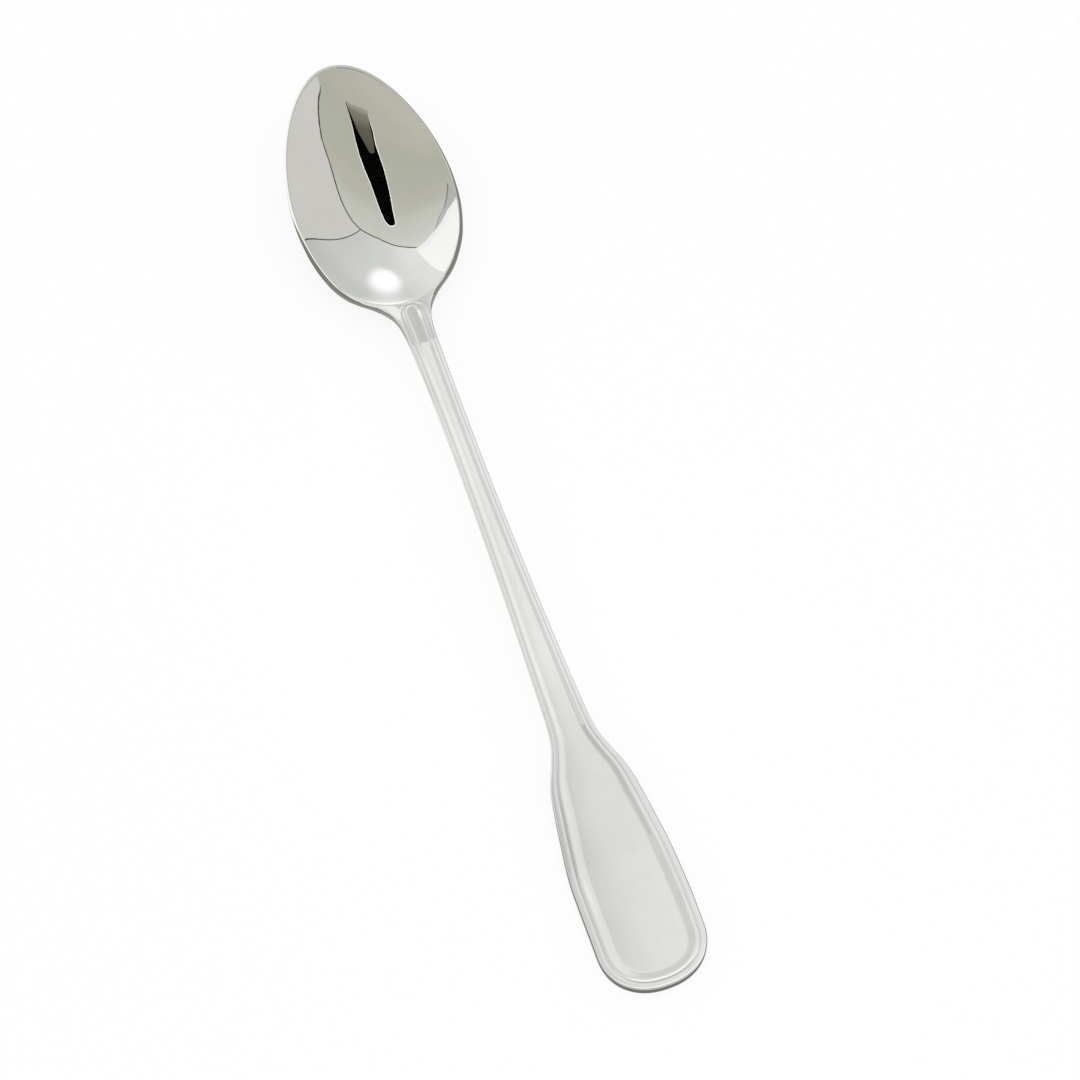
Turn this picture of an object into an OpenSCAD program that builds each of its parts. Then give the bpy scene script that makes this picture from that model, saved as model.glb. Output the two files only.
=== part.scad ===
// Iced tea spoon with a long slender stem and a fiddle-shaped handle.
// Its border is a double thread that runs round the handle, up the stem
// and closes in a round arch at the foot of the bowl.
// The real spoon is forged from one blank: bowl, neck, stem and handle are its
// four zones, and they meet face to face on flat sections across the spoon.
// Lengths are in millimetres. The bowl points along +Y, and the belly of the
// bowl and the flat back of the handle's end both rest on z = 0.

/* [Overall] */
// Length from the end of the handle to the tip of the bowl
total_l = 193.7; // [160:0.1:240]

/* [Bowl] */
// Length of the bowl
bowl_l = 51.6; // [42:0.1:62]
// Width at the middle of the bowl
bowl_w = 32.2; // [24:0.1:42]
// Depth of the hollow below the rim
bowl_depth = 6.3; // [4:0.1:10]
// Thickness at the bottom of the bowl
bowl_t = 1.2; // [0.8:0.1:2.5]
// Width of the rim round the hollow
rim_w = 1.1; // [0.6:0.1:2]
// Thickness of the rim at the tip
rim_t = 1.3; // [0.8:0.1:2]
// Rise of the rim from the neck to the tip
tip_rise = 7.5; // [0:0.1:12]

/* [Neck] */
// Length of the neck, up to the foot of the hollow
neck_l = 9.2; // [7:0.1:14]
// Width of the threaded strip where it meets the bowl
neck_w = 6.2; // [4.8:0.1:9]
// Thickness of the edge at the neck
neck_t = 2.2; // [1.5:0.1:3.5]
// Flare of each shoulder where the neck opens into the bowl
shoulder_w = 3; // [1.5:0.1:4]
// Rounding between the shoulders and the bowl's outline
shoulder_r = 1.6; // [0.5:0.1:2]
// Rise of the arch that closes the thread
arch_rise = 2.4; // [1.5:0.1:4]

/* [Stem] */
// Width of the stem at its narrowest
stem_w = 5.2; // [4.6:0.1:8]
// Height of the rounded back below the edges
ridge_h = 0.9; // [0.2:0.1:2]
// Height of the stem's crest above the foot of the bowl
crest_rise = 1; // [0:0.1:8]

/* [Handle] */
// Length of the fiddle-shaped handle
handle_l = 54; // [40:0.1:65]
// Widest part of the handle
handle_w = 20.8; // [14:0.1:28]
// Width where the handle grows out of the stem
flare_w = 8.1; // [6:0.1:11]
// Length of the rounded end
end_l = 9.3; // [5:0.1:12]
// Length of the flat back on which the end rests
landing_l = 15; // [12:0.1:18]
// Thickness of the handle
handle_t = 2.2; // [1.4:0.1:3.5]
// Rise of the top face from the end of the handle to the stem
flare_rise = 2.1; // [1:0.1:6]

/* [Thread border] */
// Width of the border on the handle
border_w = 3.5; // [2:0.1:5]
// Width of the border on the stem
stem_border_w = 1.9; // [1.2:0.1:2.2]
// Height of the threads above the rim
thread_h = 0.12; // [0.05:0.01:0.3]
// Depth of the groove between the two threads
groove_d = 0.27; // [0.1:0.01:0.5]
// Depth of the panel inside the border
panel_d = 0.36; // [0.1:0.01:0.6]
// Crown of the panel
crown_h = 0.15; // [0:0.01:0.3]
// Rounding of the outer edges
edge_r = 0.25; // [0.1:0.01:0.5]

/* [Hidden] */
steel = [0.74, 0.74, 0.73];

// Share of the rim's width between the hollow and the section where the neck ends
foot_share = 0.15;
// Place of the waist, as a share of the stem's length
waist_share = 0.73;
// Places along the length, counted from the end of the handle
bowl_y = total_l - bowl_l / 2;
neck_end = total_l - bowl_l + rim_w * (1 - foot_share);
neck_start = neck_end - neck_l;
waist_y = handle_l + (neck_start - handle_l) * waist_share;
arch_y = neck_end - rim_w * foot_share - arch_rise;
// Half widths
bowl_half = bowl_w / 2;
hollow_half = bowl_half - rim_w;
hollow_l = bowl_l / 2 - rim_w;
// Powers and shares of the outline, chosen to suit the shape
egg_share = 0.127;
end_power = 2.3;
taper_power = 1.9;
shoulder_power = 3.4;
rise_power = 1.4;
arch_inset_share = 0.4;
ridge_share = 0.9;
// Half width of the handle, from its rounded end to the stem
flare_shares = [
    [0.28, 1], [0.44, 0.94], [0.59, 0.8], [0.72, 0.62], [0.78, 0.5], [0.85, 0.27], [0.93, 0.06], [1, 0]
];
// Lines of the border, as a share of its width, and how far each lies below the threads
border_shares = [0, 0.14, 0.25, 0.38, 0.52, 0.76, 1];
border_drops = [thread_h / 2, 0, 0, groove_d, 0, panel_d * 2 / 3, panel_d];
// Lines across half of the panel
panel_shares = [0, 1 / 3, 2 / 3];
// Loops of the hollow, from its deepest point out to its edge
hollow_shares = [0, 0.2, 0.38, 0.55, 0.7, 0.83, 0.93, 1];
// Counts of steps along each zone
handle_steps = 24;
end_steps = 12;
stem_steps = 22;
neck_steps = 6;
arch_steps = 12;
foot_steps = arch_steps / 2;
bowl_steps = 34;
rest_steps = 200;

// Larger of two lengths, rounded over where they are nearly alike
function smooth_max(a, b, r) =
    let (near = max(2 * r - abs(a - b), 0))
    max(a, b) + near * near / (8 * r);

// Slope of a curve at one of its stations: level at a crest and beside a level stretch
function slope_at(stations, i) =
    let (
        last = len(stations) - 1,
        a = stations[max(i - 1, 0)],
        b = stations[i],
        c = stations[min(i + 1, last)],
        before = i == 0 ? undef : (b[1] - a[1]) / (b[0] - a[0]),
        after = i == last ? undef : (c[1] - b[1]) / (c[0] - b[0])
    )
    i == 0 ? after
    : i == last ? before
    : before * after <= 0 ? 0
    : 2 * before * after / (before + after);

// Smooth curve through stations of [place, value]
function curve(stations, t) =
    let (
        last = len(stations) - 1,
        at = min(max(t, stations[0][0]), stations[last][0]),
        i = max([for (k = [0 : last - 1]) if (k == 0 || stations[k][0] <= at) k]),
        step = stations[i + 1][0] - stations[i][0],
        u = (at - stations[i][0]) / step,
        from = stations[i][1],
        to = stations[i + 1][1]
    )
    from + (to - from) * u * u * (3 - 2 * u)
    + step * u * (1 - u) * ((1 - u) * slope_at(stations, i) - u * slope_at(stations, i + 1));

// Half width of an egg at a place along it
function egg_half(y, half, half_l) =
    let (at = min(max((y - bowl_y) / half_l, -1), 1))
    half * sqrt(1 - at * at) * (1 - egg_share * at);

// Half width of the threaded strip along stem and neck
function strip_half(y) =
    y < waist_y
    ? stem_w / 2 + (flare_w - stem_w) / 2 * pow((waist_y - y) / (waist_y - handle_l), taper_power)
    : stem_w / 2 + (neck_w - stem_w) / 2 * pow((y - waist_y) / (neck_end - waist_y), 2);

// Half width of the neck, with the shoulders that open into the bowl
function shoulder_half(y) =
    let (at = min(y, neck_end))
    strip_half(at) + shoulder_w * pow(max(at - neck_start, 0) / neck_l, shoulder_power);

// Half width of the rounded end
function end_half(y) = handle_w / 2 * pow(1 - pow((end_l - y) / end_l, end_power), 1 / end_power);

// Half width of the whole spoon
function half_at(y) =
    y <= end_l ? end_half(y)
    : y <= handle_l ? flare_w / 2 + (handle_w - flare_w) / 2 * curve(flare_shares, y / handle_l)
    : y <= total_l - bowl_l ? shoulder_half(y)
    : y > bowl_y ? egg_half(y, bowl_half, bowl_l / 2)
    : smooth_max(shoulder_half(y), egg_half(y, bowl_half, bowl_l / 2), shoulder_r);

// Thickness of the edge
function edge_at(y) =
    curve([[landing_l, handle_t], [handle_l, handle_t], [neck_end, neck_t], [total_l, rim_t]], y);

// Fullness of the back below the edges: the stem's ridge runs out on the back of the bowl
function ridge_at(y) =
    ridge_h
    * curve([[0, 0], [landing_l, 0], [handle_l, ridge_share], [waist_y, 1], [neck_end, 1], [bowl_y, 0]], y);
function belly_at(y) = (bowl_depth + bowl_t - edge_at(y)) * pow(egg_half(y, 1, bowl_l / 2), 2);
function back_at(y) = norm([ridge_at(y), belly_at(y)]);

// Rise of the rim above the neck, and the neck's height when the belly rests on the table
function rise_at(y) = tip_rise * pow(max(y - neck_end, 0) / (total_l - neck_end), rise_power);
neck_h = max([
    for (i = [0 : rest_steps])
        let (y = neck_end + (total_l - neck_end) * i / rest_steps)
        edge_at(y) + back_at(y) - rise_at(y)
]);

// Height of the threads above the table
line_stations = [
    [0, handle_t],
    [landing_l, handle_t],
    [handle_l, handle_t + flare_rise],
    [waist_y, neck_h + crest_rise],
    [neck_end, neck_h]
];
function line_at(y) = y < neck_end ? curve(line_stations, y) : neck_h + rise_at(y);

// Depth of the hollow at a point
function hollow_at(x, y) =
    let (half = egg_half(y, 1, hollow_l))
    bowl_depth * max(half * half - pow(x / hollow_half, 2), 0);

// A plan point is [x, y, drop below the threads, lift of the back]
function top_of(p) = [p[0], p[1] - total_l / 2, line_at(p[1]) - p[2] - hollow_at(p[0], p[1])];
function back_of(p) =
    let (side = min(abs(p[0]) / max(half_at(p[1]), edge_r), 1))
    [p[0], p[1] - total_l / 2, line_at(p[1]) - edge_at(p[1]) - back_at(p[1]) * (1 - side * side) + p[3]];

// Width of the border
function border_at(y) =
    curve([
        [handle_l * 2 / 3, border_w],
        [handle_l, stem_border_w + (border_w - stem_border_w) / 4],
        [handle_l * 4 / 3, stem_border_w],
        [neck_end, stem_border_w]
    ], y);

// A row of plan points from the middle of the panel, over the border, out to the edge.
// lines are the places of the border's lines on this row, from the outer one to the panel.
// The crown fades out where the panel is narrow.
function row_of(lines, edge, lift) =
    let (
        last = len(lines) - 1,
        flank = (lines[0] + edge) / 2,
        crown = crown_h * min(abs(lines[last][0]) / border_w, 1)
    )
    concat(
        [for (s = panel_shares) [lines[last][0] * s, lines[last][1], panel_d - crown * (1 - s * s), 0]],
        [for (i = [last : -1 : 0]) [lines[i][0], lines[i][1], border_drops[i], 0]],
        [[flank[0], flank[1], thread_h, 0]],
        [[edge[0], edge[1], thread_h + lift / 2, lift]]
    );

// A whole row from edge to edge: the mirror image of half a row, and that half
function whole(row) = concat(
    [for (i = [len(row) - 1 : -1 : 1]) [-row[i][0], row[i][1], row[i][2], row[i][3]]],
    row
);

// Border lines inside an edge, inwards along a direction
function lines_in(edge, inward, width) =
    [for (s = border_shares) edge + inward * (edge_r + width * s)];

// Rows straight across stem and handle
function straight_rows(from, to, steps) = [
    for (i = [0 : steps])
        let (y = from + (to - from) * i / steps, edge = [half_at(y), y])
        whole(row_of(lines_in(edge, [-1, 0], border_at(y)), edge, edge_r))
];

// Rows that fan round the end of the handle, up to its middle
function end_rows() = [
    for (i = [1 : end_steps])
        let (
            a = 90 * i / end_steps,
            edge = [handle_w / 2 * pow(cos(a), 2 / end_power), end_l * (1 - pow(sin(a), 2 / end_power))],
            across = pow(2 * edge[0] / handle_w, end_power - 1) / handle_w * 2,
            along = pow(1 - edge[1] / end_l, end_power - 1) / end_l,
            inward = [-across, along] / norm([across, along])
        )
        whole(row_of(lines_in(edge, inward, border_w), edge, edge_r))
];

// Rows of the neck below the arch, on the left half
function foot_rows() = [
    for (i = [0 : neck_steps])
        let (
            y = neck_start + (arch_y - neck_start) * i / neck_steps,
            edge = [-half_at(y), y],
            strip = [-strip_half(y), y]
        )
        whole(row_of(lines_in(strip, [1, 0], stem_border_w), edge, edge_r))
];

// Rows that fan round the arch, on the left half; their edges follow the shoulder and then the foot of the bowl
function arch_rows() =
    let (strip = strip_half(arch_y) - edge_r)
    [
        for (i = [1 : arch_steps])
            let (
                a = 90 * i / arch_steps,
                u = i / arch_steps,
                lines = [
                    for (s = border_shares)
                        let (inset = stem_border_w * s)
                        [(inset - strip) * cos(a), arch_y + (arch_rise - inset * arch_inset_share) * sin(a)]
                ],
                y = arch_y + (neck_end - arch_y) * min(u * 2, 1),
                x = half_at(y) * min(2 - u * 2, 1)
            )
            whole(row_of(lines, [-x, y], u * 2 <= 1 ? edge_r : 0))
    ];

// Spokes of the bowl from its middle out to the edge, on the left half: over the foot first, then round to the tip
foot_angle = acos((bowl_y - neck_end) / (bowl_l / 2));
spokes = [
    for (i = [0 : foot_steps + bowl_steps])
        let (
            u = (i - foot_steps) / bowl_steps,
            a = u < 0 ? foot_angle * i / foot_steps : foot_angle + (180 - foot_angle) * u,
            y = u < 0 ? neck_end : bowl_y - cos(a) * bowl_l / 2,
            x = half_at(y) * (u < 0 ? i / foot_steps : 1),
            inner = bowl_y - cos(a) * hollow_l,
            lip = [-egg_half(inner, hollow_half, hollow_l), inner],
            rim = lip + ([-x, y] - lip) * (1 - edge_r / rim_w),
            lift = u < 0 ? 0 : edge_r
        )
        concat(
            [for (s = hollow_shares) [lip[0] * s, bowl_y + (inner - bowl_y) * s, thread_h, 0]],
            [[rim[0], rim[1], thread_h, 0], [-x, y, thread_h + lift / 2, lift]]
        )
];

// Solid between the top and the back of a net of plan points. cells are listed clockwise from above,
// and so are the sides of the net's outer edge.
module sheet(points, cells, sides) {
    n = len(points);
    tops = [for (c = cells) each [[c[0], c[1], c[2]], [c[0], c[2], c[3]]]];
    walls = [for (s = sides) each [[s[1], s[0], s[0] + n], [s[1], s[0] + n, s[1] + n]]];
    backs = [for (t = tops) [t[2] + n, t[1] + n, t[0] + n]];
    polyhedron(
        concat([for (p = points) top_of(p)], [for (p = points) back_of(p)]),
        [for (t = concat(tops, walls, backs)) if (t[0] != t[1] && t[1] != t[2] && t[2] != t[0]) t]
    );
}

// Solid on rows of plan points. The last row of a folded net lies on the middle line: its two halves
// are one, and so are its points inside the border.
module rows_sheet(rows, folded) {
    last = len(rows) - 1;
    width = len(rows[0]);
    inner = len(border_shares) + 1;
    id = function (r, c) r * width + (folded && r == last ? min(c, width - 1 - c, inner) : c);
    sheet(
        [for (row = rows) each row],
        [for (r = [1 : last], c = [1 : width - 1]) [id(r - 1, c - 1), id(r - 1, c), id(r, c), id(r, c - 1)]],
        concat(
            [for (c = [1 : width - 1]) [id(0, c - 1), id(0, c)]],
            [for (r = [1 : last]) each [[id(r - 1, width - 1), id(r, width - 1)], [id(r, 0), id(r - 1, 0)]]],
            folded ? [] : [for (c = [1 : width - 1]) [id(last, c), id(last, c - 1)]]
        )
    );
}

// Egg-shaped bowl with its hollow, rim and rounded belly
module bowl() {
    half = len(spokes) - 1;
    right = [for (i = [half - 1 : -1 : 1]) [for (p = spokes[i]) [-p[0], p[1], p[2], p[3]]]];
    rows = concat(spokes, right);
    count = len(rows);
    width = len(rows[0]);
    id = function (r, c) c == 0 ? 0 : (r % count) * width + c;
    color(steel)
        sheet(
            [for (row = rows) each row],
            [for (r = [1 : count], c = [1 : width - 1]) [id(r - 1, c - 1), id(r - 1, c), id(r, c), id(r, c - 1)]],
            [for (r = [1 : count]) [id(r - 1, width - 1), id(r, width - 1)]]
        );
}

// Neck with its two shoulders and the arch that closes the double thread
module neck() {
    color(steel)
        rows_sheet(concat(foot_rows(), arch_rows()), true);
}

// Slender tapered stem with the thread along both edges
module stem() {
    color(steel)
        rows_sheet(straight_rows(neck_start, handle_l, stem_steps), false);
}

// Fiddle-shaped handle: flare, double thread round a crowned panel, and rounded end
module handle() {
    color(steel)
        rows_sheet(concat(straight_rows(handle_l, end_l, handle_steps), end_rows()), true);
}

bowl();
neck();
stem();
handle();
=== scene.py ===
"""Iced tea spoon of polished stainless steel, lying on a white table under soft studio light."""

import math

import bpy
import numpy as np
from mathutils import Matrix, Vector


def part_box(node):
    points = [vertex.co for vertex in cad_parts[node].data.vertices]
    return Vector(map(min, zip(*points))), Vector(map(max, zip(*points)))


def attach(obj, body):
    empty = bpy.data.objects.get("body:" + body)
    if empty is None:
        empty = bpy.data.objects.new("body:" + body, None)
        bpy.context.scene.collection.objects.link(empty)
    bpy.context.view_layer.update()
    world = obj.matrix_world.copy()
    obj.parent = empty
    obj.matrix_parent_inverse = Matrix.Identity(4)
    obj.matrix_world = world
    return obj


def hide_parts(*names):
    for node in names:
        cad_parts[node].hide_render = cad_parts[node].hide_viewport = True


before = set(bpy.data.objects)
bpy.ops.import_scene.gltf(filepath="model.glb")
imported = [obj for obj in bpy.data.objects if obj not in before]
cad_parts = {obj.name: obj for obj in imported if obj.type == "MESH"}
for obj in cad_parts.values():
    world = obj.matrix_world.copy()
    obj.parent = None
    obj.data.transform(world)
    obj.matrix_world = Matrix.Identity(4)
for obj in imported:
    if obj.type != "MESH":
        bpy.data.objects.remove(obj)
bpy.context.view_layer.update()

# Sizes in millimetres. Places along the length are counted from the end of the handle.
MM = 0.001


def corners(node):
    """Lowest and highest corner of a node of the frame, in millimetres."""
    return [np.array(corner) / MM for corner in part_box(node)]


handle_low, handle_high = corners("handle")
stem_high = corners("stem")[1]
neck_high = corners("neck")[1]
bowl_high = corners("bowl")[1]

TOTAL_L = bowl_high[1] - handle_low[1]
HANDLE_L = handle_high[1] - handle_low[1]
HANDLE_W = handle_high[0] - handle_low[0]
NECK_START = stem_high[1] - handle_low[1]
NECK_END = neck_high[1] - handle_low[1]

BOWL_L = 51.6
BOWL_W = 32.2
BOWL_DEPTH = 6.3
BOWL_T = 1.2
RIM_W = 1.1
RIM_T = 1.3
TIP_RISE = 7.5
LIP_W = 0.7
LIP_ROUND = 0.02
FOOT_ROUND = 0.12
FOOT_EASE = 0.1
EASE_POWER = 4
BEVEL_POWER = 1.25

NECK_W = 5.9
NECK_T = 2.2
SHOULDER_W = 3.0
ARCH_RISE = 2.4

STEM_W = 5.2
RIDGE_H = 0.9
CREST_RISE = 1.0

FLARE_W = 8.1
END_L = 9.3
LANDING_L = 15.0
HANDLE_T = 2.2
FLARE_RISE = 2.1

BORDER_W = 3.5
STEM_BORDER_W = 1.9
THREAD_H = 0.12
GROOVE_D = 0.17
PANEL_D = 0.42
END_PANEL_D = 0.28
STEM_PANEL_D = 0.22
COVE_SHARE = 0.56
STEM_COVE_SHARE = 0.62
CROWN_H = 0.15
EDGE_R = 0.25
TOP_ROUND = 0.3
BACK_ROUND = 0.35
# A rounding takes at most this share of the stretch that it ends
MAX_REACH = 0.9

FOOT_SHARE = 0.15
WAIST_SHARE = 0.73
EGG_SHARE = 0.127
END_POWER = 2.2
TAPER_POWER = 1.9
SHOULDER_POWER = 3.4
RISE_POWER = 1.4
ARCH_INSET_SHARE = 0.4
RIDGE_SHARE = 0.9

BOWL_Y = TOTAL_L - BOWL_L / 2
HOLLOW_HALF = BOWL_W / 2 - LIP_W
HOLLOW_L = BOWL_L / 2 - (RIM_W + LIP_W) / 2
HOLLOW_Y = BOWL_Y + (RIM_W - LIP_W) / 2
WAIST_Y = HANDLE_L + (NECK_START - HANDLE_L) * WAIST_SHARE
ARCH_Y = NECK_END - RIM_W * FOOT_SHARE - ARCH_RISE
PANEL_END = EDGE_R + BORDER_W
# The border narrows from the handle's to the stem's between these places
NARROWING_Y = HANDLE_L * 2 / 3
NARROW_Y = HANDLE_L * 4 / 3

# Half width of the handle, as a share of what it gains over the stem, along the handle's length
FLARE_SHARES = [(0.28, 1), (0.44, 0.94), (0.59, 0.8), (0.72, 0.62), (0.78, 0.5), (0.85, 0.27), (0.93, 0.06),
                (1, 0)]

# How much narrower the handle is on each side than its solid, by distance from its end
HANDLE_TRIM = [(END_L, 0.28), (14.0, 0.26), (19.0, 0.16), (24.0, 0.1), (32.0, 0.12), (40.0, 0)]
END_HALF = HANDLE_W / 2 - HANDLE_TRIM[0][1]

# Half width where neck and bowl meet, by distance from the start of the bowl, up to where the egg takes over
MEETING = [(-6, 2.836), (-4.5, 2.98), (-3, 3.22), (-2, 3.5), (-1, 3.92), (0, 4.52), (1, 5.3), (2, 6.25),
           (3, 7.4), (4, 8.7), (5, 9.87), (6, 10.87), (8, 12.35), (10, 13.46)]
EGG_START = 12.0
EGG_STEP = 2.0
# How much narrower the egg is there on each side than the solid's
EGG_TRIM = 0.2

# How far the spoon's middle line strays to the left in the photograph, by distance from the handle's end.
# Less than zero is to the right.
SWAY = [(0, -0.26), (9.0, -0.28), (14.0, -0.29), (18.5, -0.23), (24.0, -0.12), (33.0, -0.12), (50.0, 0),
        (63.6, 0.17), (82.6, 0.3), (97.0, 0.4), (125.6, 0.45), (139.8, 0.47), (146.0, 0.6), (150.0, 0.5),
        (154.0, 0.2), (160.0, 0)]

# Bevel along the edge of the bowl: its width, and its fall for each millimetre of width, along the spoon
BEVEL_WIDTHS = [(NECK_START, 0.1), (NECK_END - 4, 0.12), (NECK_END, 0.35), (NECK_END + 5, 0.7),
                (NECK_END + 12, 0.65), (BOWL_Y, 0.5), (TOTAL_L, 0.35)]
BEVEL_SLOPES = [(NECK_START, 1.2), (NECK_END, 1.5), (NECK_END + 12, 1.45), (BOWL_Y + 4, 0.85),
                (TOTAL_L, 0.8)]

# Share of its height that the panel's crown has along the handle. It is level towards the rounded end.
CROWN_SHARES = [(PANEL_END, 0), (PANEL_END + 3, 0.7), (PANEL_END + 7, 1)]

# Counts of steps along each zone and across it
HANDLE_STEPS = 110
END_STEPS = 48
STEM_STEPS = 150
NECK_STEPS = 20
ARCH_STEPS = 48
CORNER_STEPS = 6
FOOT_STEPS = ARCH_STEPS // 2
BOWL_STEPS = 150
BORDER_STEPS = 40
GROOVE_STEPS = 18
GROOVE_SPAN = (0.25, 0.4)
PANEL_STEPS = 8
FLANK_STEPS = 14
ROUND_STEPS = 5
HOLLOW_STEPS = 43
RIM_STEPS = 24
RIM_POWER = 1.2
HEIGHT_SAMPLES = 201
SLOPE_STEP = 0.01

# Differences below these are none: of places in millimetres, and of lengths
SAME_PLACE = 1e-6
SAME_DIGITS = 4
NO_LENGTH = 1e-12

# Takes a plan point of x, y, drop and distance to the outline over to the other side of the spoon
MIRROR = np.array([-1, 1, 1, 1])


def curve(stations, t):
    """Smooth curve through stations of (place, value): level at a crest and beside a level stretch."""
    x, y = np.array(stations, float).T
    t = np.clip(t, x[0], x[-1])
    secant = np.diff(y) / np.diff(x)
    before, after = secant[:-1], secant[1:]
    product, total = before * after, before + after
    inner = np.where(product > 0, 2 * product / np.where(total == 0, 1, total), 0)
    slope = np.concatenate([secant[:1], inner, secant[-1:]])
    i = np.clip(np.searchsorted(x, t, side="right") - 1, 0, len(x) - 2)
    step = x[i + 1] - x[i]
    u = (t - x[i]) / step
    rise = y[i] + (y[i + 1] - y[i]) * u * u * (3 - 2 * u)
    return rise + step * u * (1 - u) * ((1 - u) * slope[i] - u * slope[i + 1])


def smooth_max(a, b, r):
    """Larger of two lengths, rounded over where they are nearly alike."""
    near = np.maximum(2 * r - np.abs(a - b), 0)
    return np.maximum(a, b) + near * near / (8 * r)


def egg_square(y, half_l):
    """Square of an egg's half width for a largest half width of about 1. It is negative beyond the egg.
    y is counted from the middle of the egg."""
    at = y / half_l
    return (1 - at * at) * (1 - EGG_SHARE * at) ** 2


def egg_half(y, half, half_l):
    """Half width of an egg at a place along it."""
    return half * np.sqrt(np.maximum(egg_square(y, half_l), 0))


def strip_half(y):
    """Half width of the threaded strip along stem and neck."""
    taper = np.maximum(WAIST_Y - y, 0) / (WAIST_Y - HANDLE_L)
    spread = np.maximum(y - WAIST_Y, 0) / (NECK_END - WAIST_Y)
    return STEM_W / 2 + (FLARE_W - STEM_W) / 2 * taper**TAPER_POWER + (NECK_W - STEM_W) / 2 * spread**2


def shoulder_half(y):
    """Half width of the neck, with the shoulders that open into the bowl."""
    at = np.minimum(y, NECK_END)
    opened = np.maximum(at - NECK_START, 0) / (NECK_END - NECK_START)
    return strip_half(at) + SHOULDER_W * opened**SHOULDER_POWER


def bowl_half(from_bowl):
    """Half width of the bowl by distance from its start: an egg, a little narrower towards the neck."""
    trim = curve([(EGG_START, EGG_TRIM), (BOWL_L / 2, 0)], from_bowl)
    return egg_half(from_bowl - BOWL_L / 2, BOWL_W / 2, BOWL_L / 2) - trim


def half_at(y):
    """Half width of the whole spoon."""
    y = np.asarray(y, float)
    past_end = np.maximum((END_L - y) / END_L, 0)
    end = END_HALF * np.maximum(1 - past_end**END_POWER, 0) ** (1 / END_POWER)
    flare = FLARE_W / 2 + (HANDLE_W - FLARE_W) / 2 * curve(FLARE_SHARES, y / HANDLE_L)
    flare -= curve(HANDLE_TRIM, y)
    from_bowl = y - TOTAL_L + BOWL_L
    egg = bowl_half(from_bowl)
    egg_places = [EGG_START, EGG_START + EGG_STEP, EGG_START + 2 * EGG_STEP]
    meeting = curve(MEETING + [(place, float(bowl_half(place))) for place in egg_places], from_bowl)
    zones = [y <= END_L, y <= HANDLE_L, from_bowl <= MEETING[1][0], from_bowl <= egg_places[1]]
    return np.select(zones, [end, flare, shoulder_half(y), meeting], egg)


def outline_slope(y):
    """How much the half width grows for each millimetre along the spoon."""
    return (half_at(y + SLOPE_STEP) - half_at(y - SLOPE_STEP)) / (2 * SLOPE_STEP)


def inside_by(plan, edge, outward):
    """Distance from plan points to the outline. outward is the outline's direction at the edge of their row,
    or None where the row ends on a section inside the outline."""
    if outward is None:
        across = half_at(plan[:, 1]) - np.abs(plan[:, 0])
        distance = across / np.hypot(1, outline_slope(plan[:, 1]))
    else:
        distance = (edge - plan) @ outward
    return np.maximum(distance, 0)


def edge_at(y):
    """Thickness of the edge."""
    return curve([(LANDING_L, HANDLE_T), (HANDLE_L, HANDLE_T), (NECK_END, NECK_T), (TOTAL_L, RIM_T)], y)


def back_at(y):
    """Fullness of the back below the edges: the stem's ridge runs out on the back of the bowl."""
    shares = [(0, 0), (LANDING_L, 0), (HANDLE_L, RIDGE_SHARE), (WAIST_Y, 1), (NECK_END, 1), (BOWL_Y, 0)]
    belly = (BOWL_DEPTH + BOWL_T - edge_at(y)) * np.maximum(egg_square(y - BOWL_Y, BOWL_L / 2), 0)
    return np.hypot(RIDGE_H * curve(shares, y), belly)


def rise_at(y):
    """Rise of the rim above the neck."""
    return TIP_RISE * (np.maximum(y - NECK_END, 0) / (TOTAL_L - NECK_END)) ** RISE_POWER


along_bowl = np.linspace(NECK_END, TOTAL_L, HEIGHT_SAMPLES)
NECK_H = float(np.max(edge_at(along_bowl) + back_at(along_bowl) - rise_at(along_bowl)))


def line_at(y):
    """Height of the threads above the table."""
    stations = [(0, HANDLE_T), (LANDING_L, HANDLE_T), (HANDLE_L, HANDLE_T + FLARE_RISE),
                (WAIST_Y, NECK_H + CREST_RISE), (NECK_END, NECK_H)]
    return np.where(y < NECK_END, curve(stations, y), NECK_H + rise_at(y))


def hollow_at(x, y):
    """Depth of the hollow at a point, with its lip rounded over."""
    share = egg_square(y - HOLLOW_Y, HOLLOW_L) - (x / HOLLOW_HALF) ** 2
    ease = FOOT_EASE * curve([(NECK_END, 1), (BOWL_Y, 0)], y)
    within = (1 + ease) * share - ease * (1 - (1 - share) ** EASE_POWER)
    eased = np.where(share > 0, within, (1 - (EASE_POWER - 1) * ease) * share)
    lip = curve([(NECK_END, FOOT_ROUND), (NECK_END + BOWL_L / 4, LIP_ROUND), (TOTAL_L, LIP_ROUND)], y)
    return smooth_max(BOWL_DEPTH * eased, 0, lip)


def rounding(q, radius):
    """How far a rounded edge has fallen at a distance q inside the outline."""
    inside = np.clip(radius - q, 0, radius)
    return radius - np.sqrt(radius * radius - inside * inside)


def edge_fall(q, y):
    """How far the top has fallen near the outline: over a rounded edge, and over the bevel along the bowl.
    The bevel is widest beside the neck, where the metal is thick."""
    width = curve(BEVEL_WIDTHS, y)
    beveled = width * curve(BEVEL_SLOPES, y) * np.maximum(1 - q / width, 0) ** BEVEL_POWER
    rounded = rounding(q, TOP_ROUND)
    return np.where(y > NECK_START, np.maximum(beveled, rounded), rounded)


def top_of(p):
    """Point on the top for each plan point of x, y, drop and distance to the outline."""
    z = line_at(p[:, 1]) - p[:, 2] - hollow_at(p[:, 0], p[:, 1]) - edge_fall(p[:, 3], p[:, 1])
    return np.column_stack([p[:, 0] - curve(SWAY, p[:, 1]), p[:, 1] - TOTAL_L / 2, z])


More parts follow.
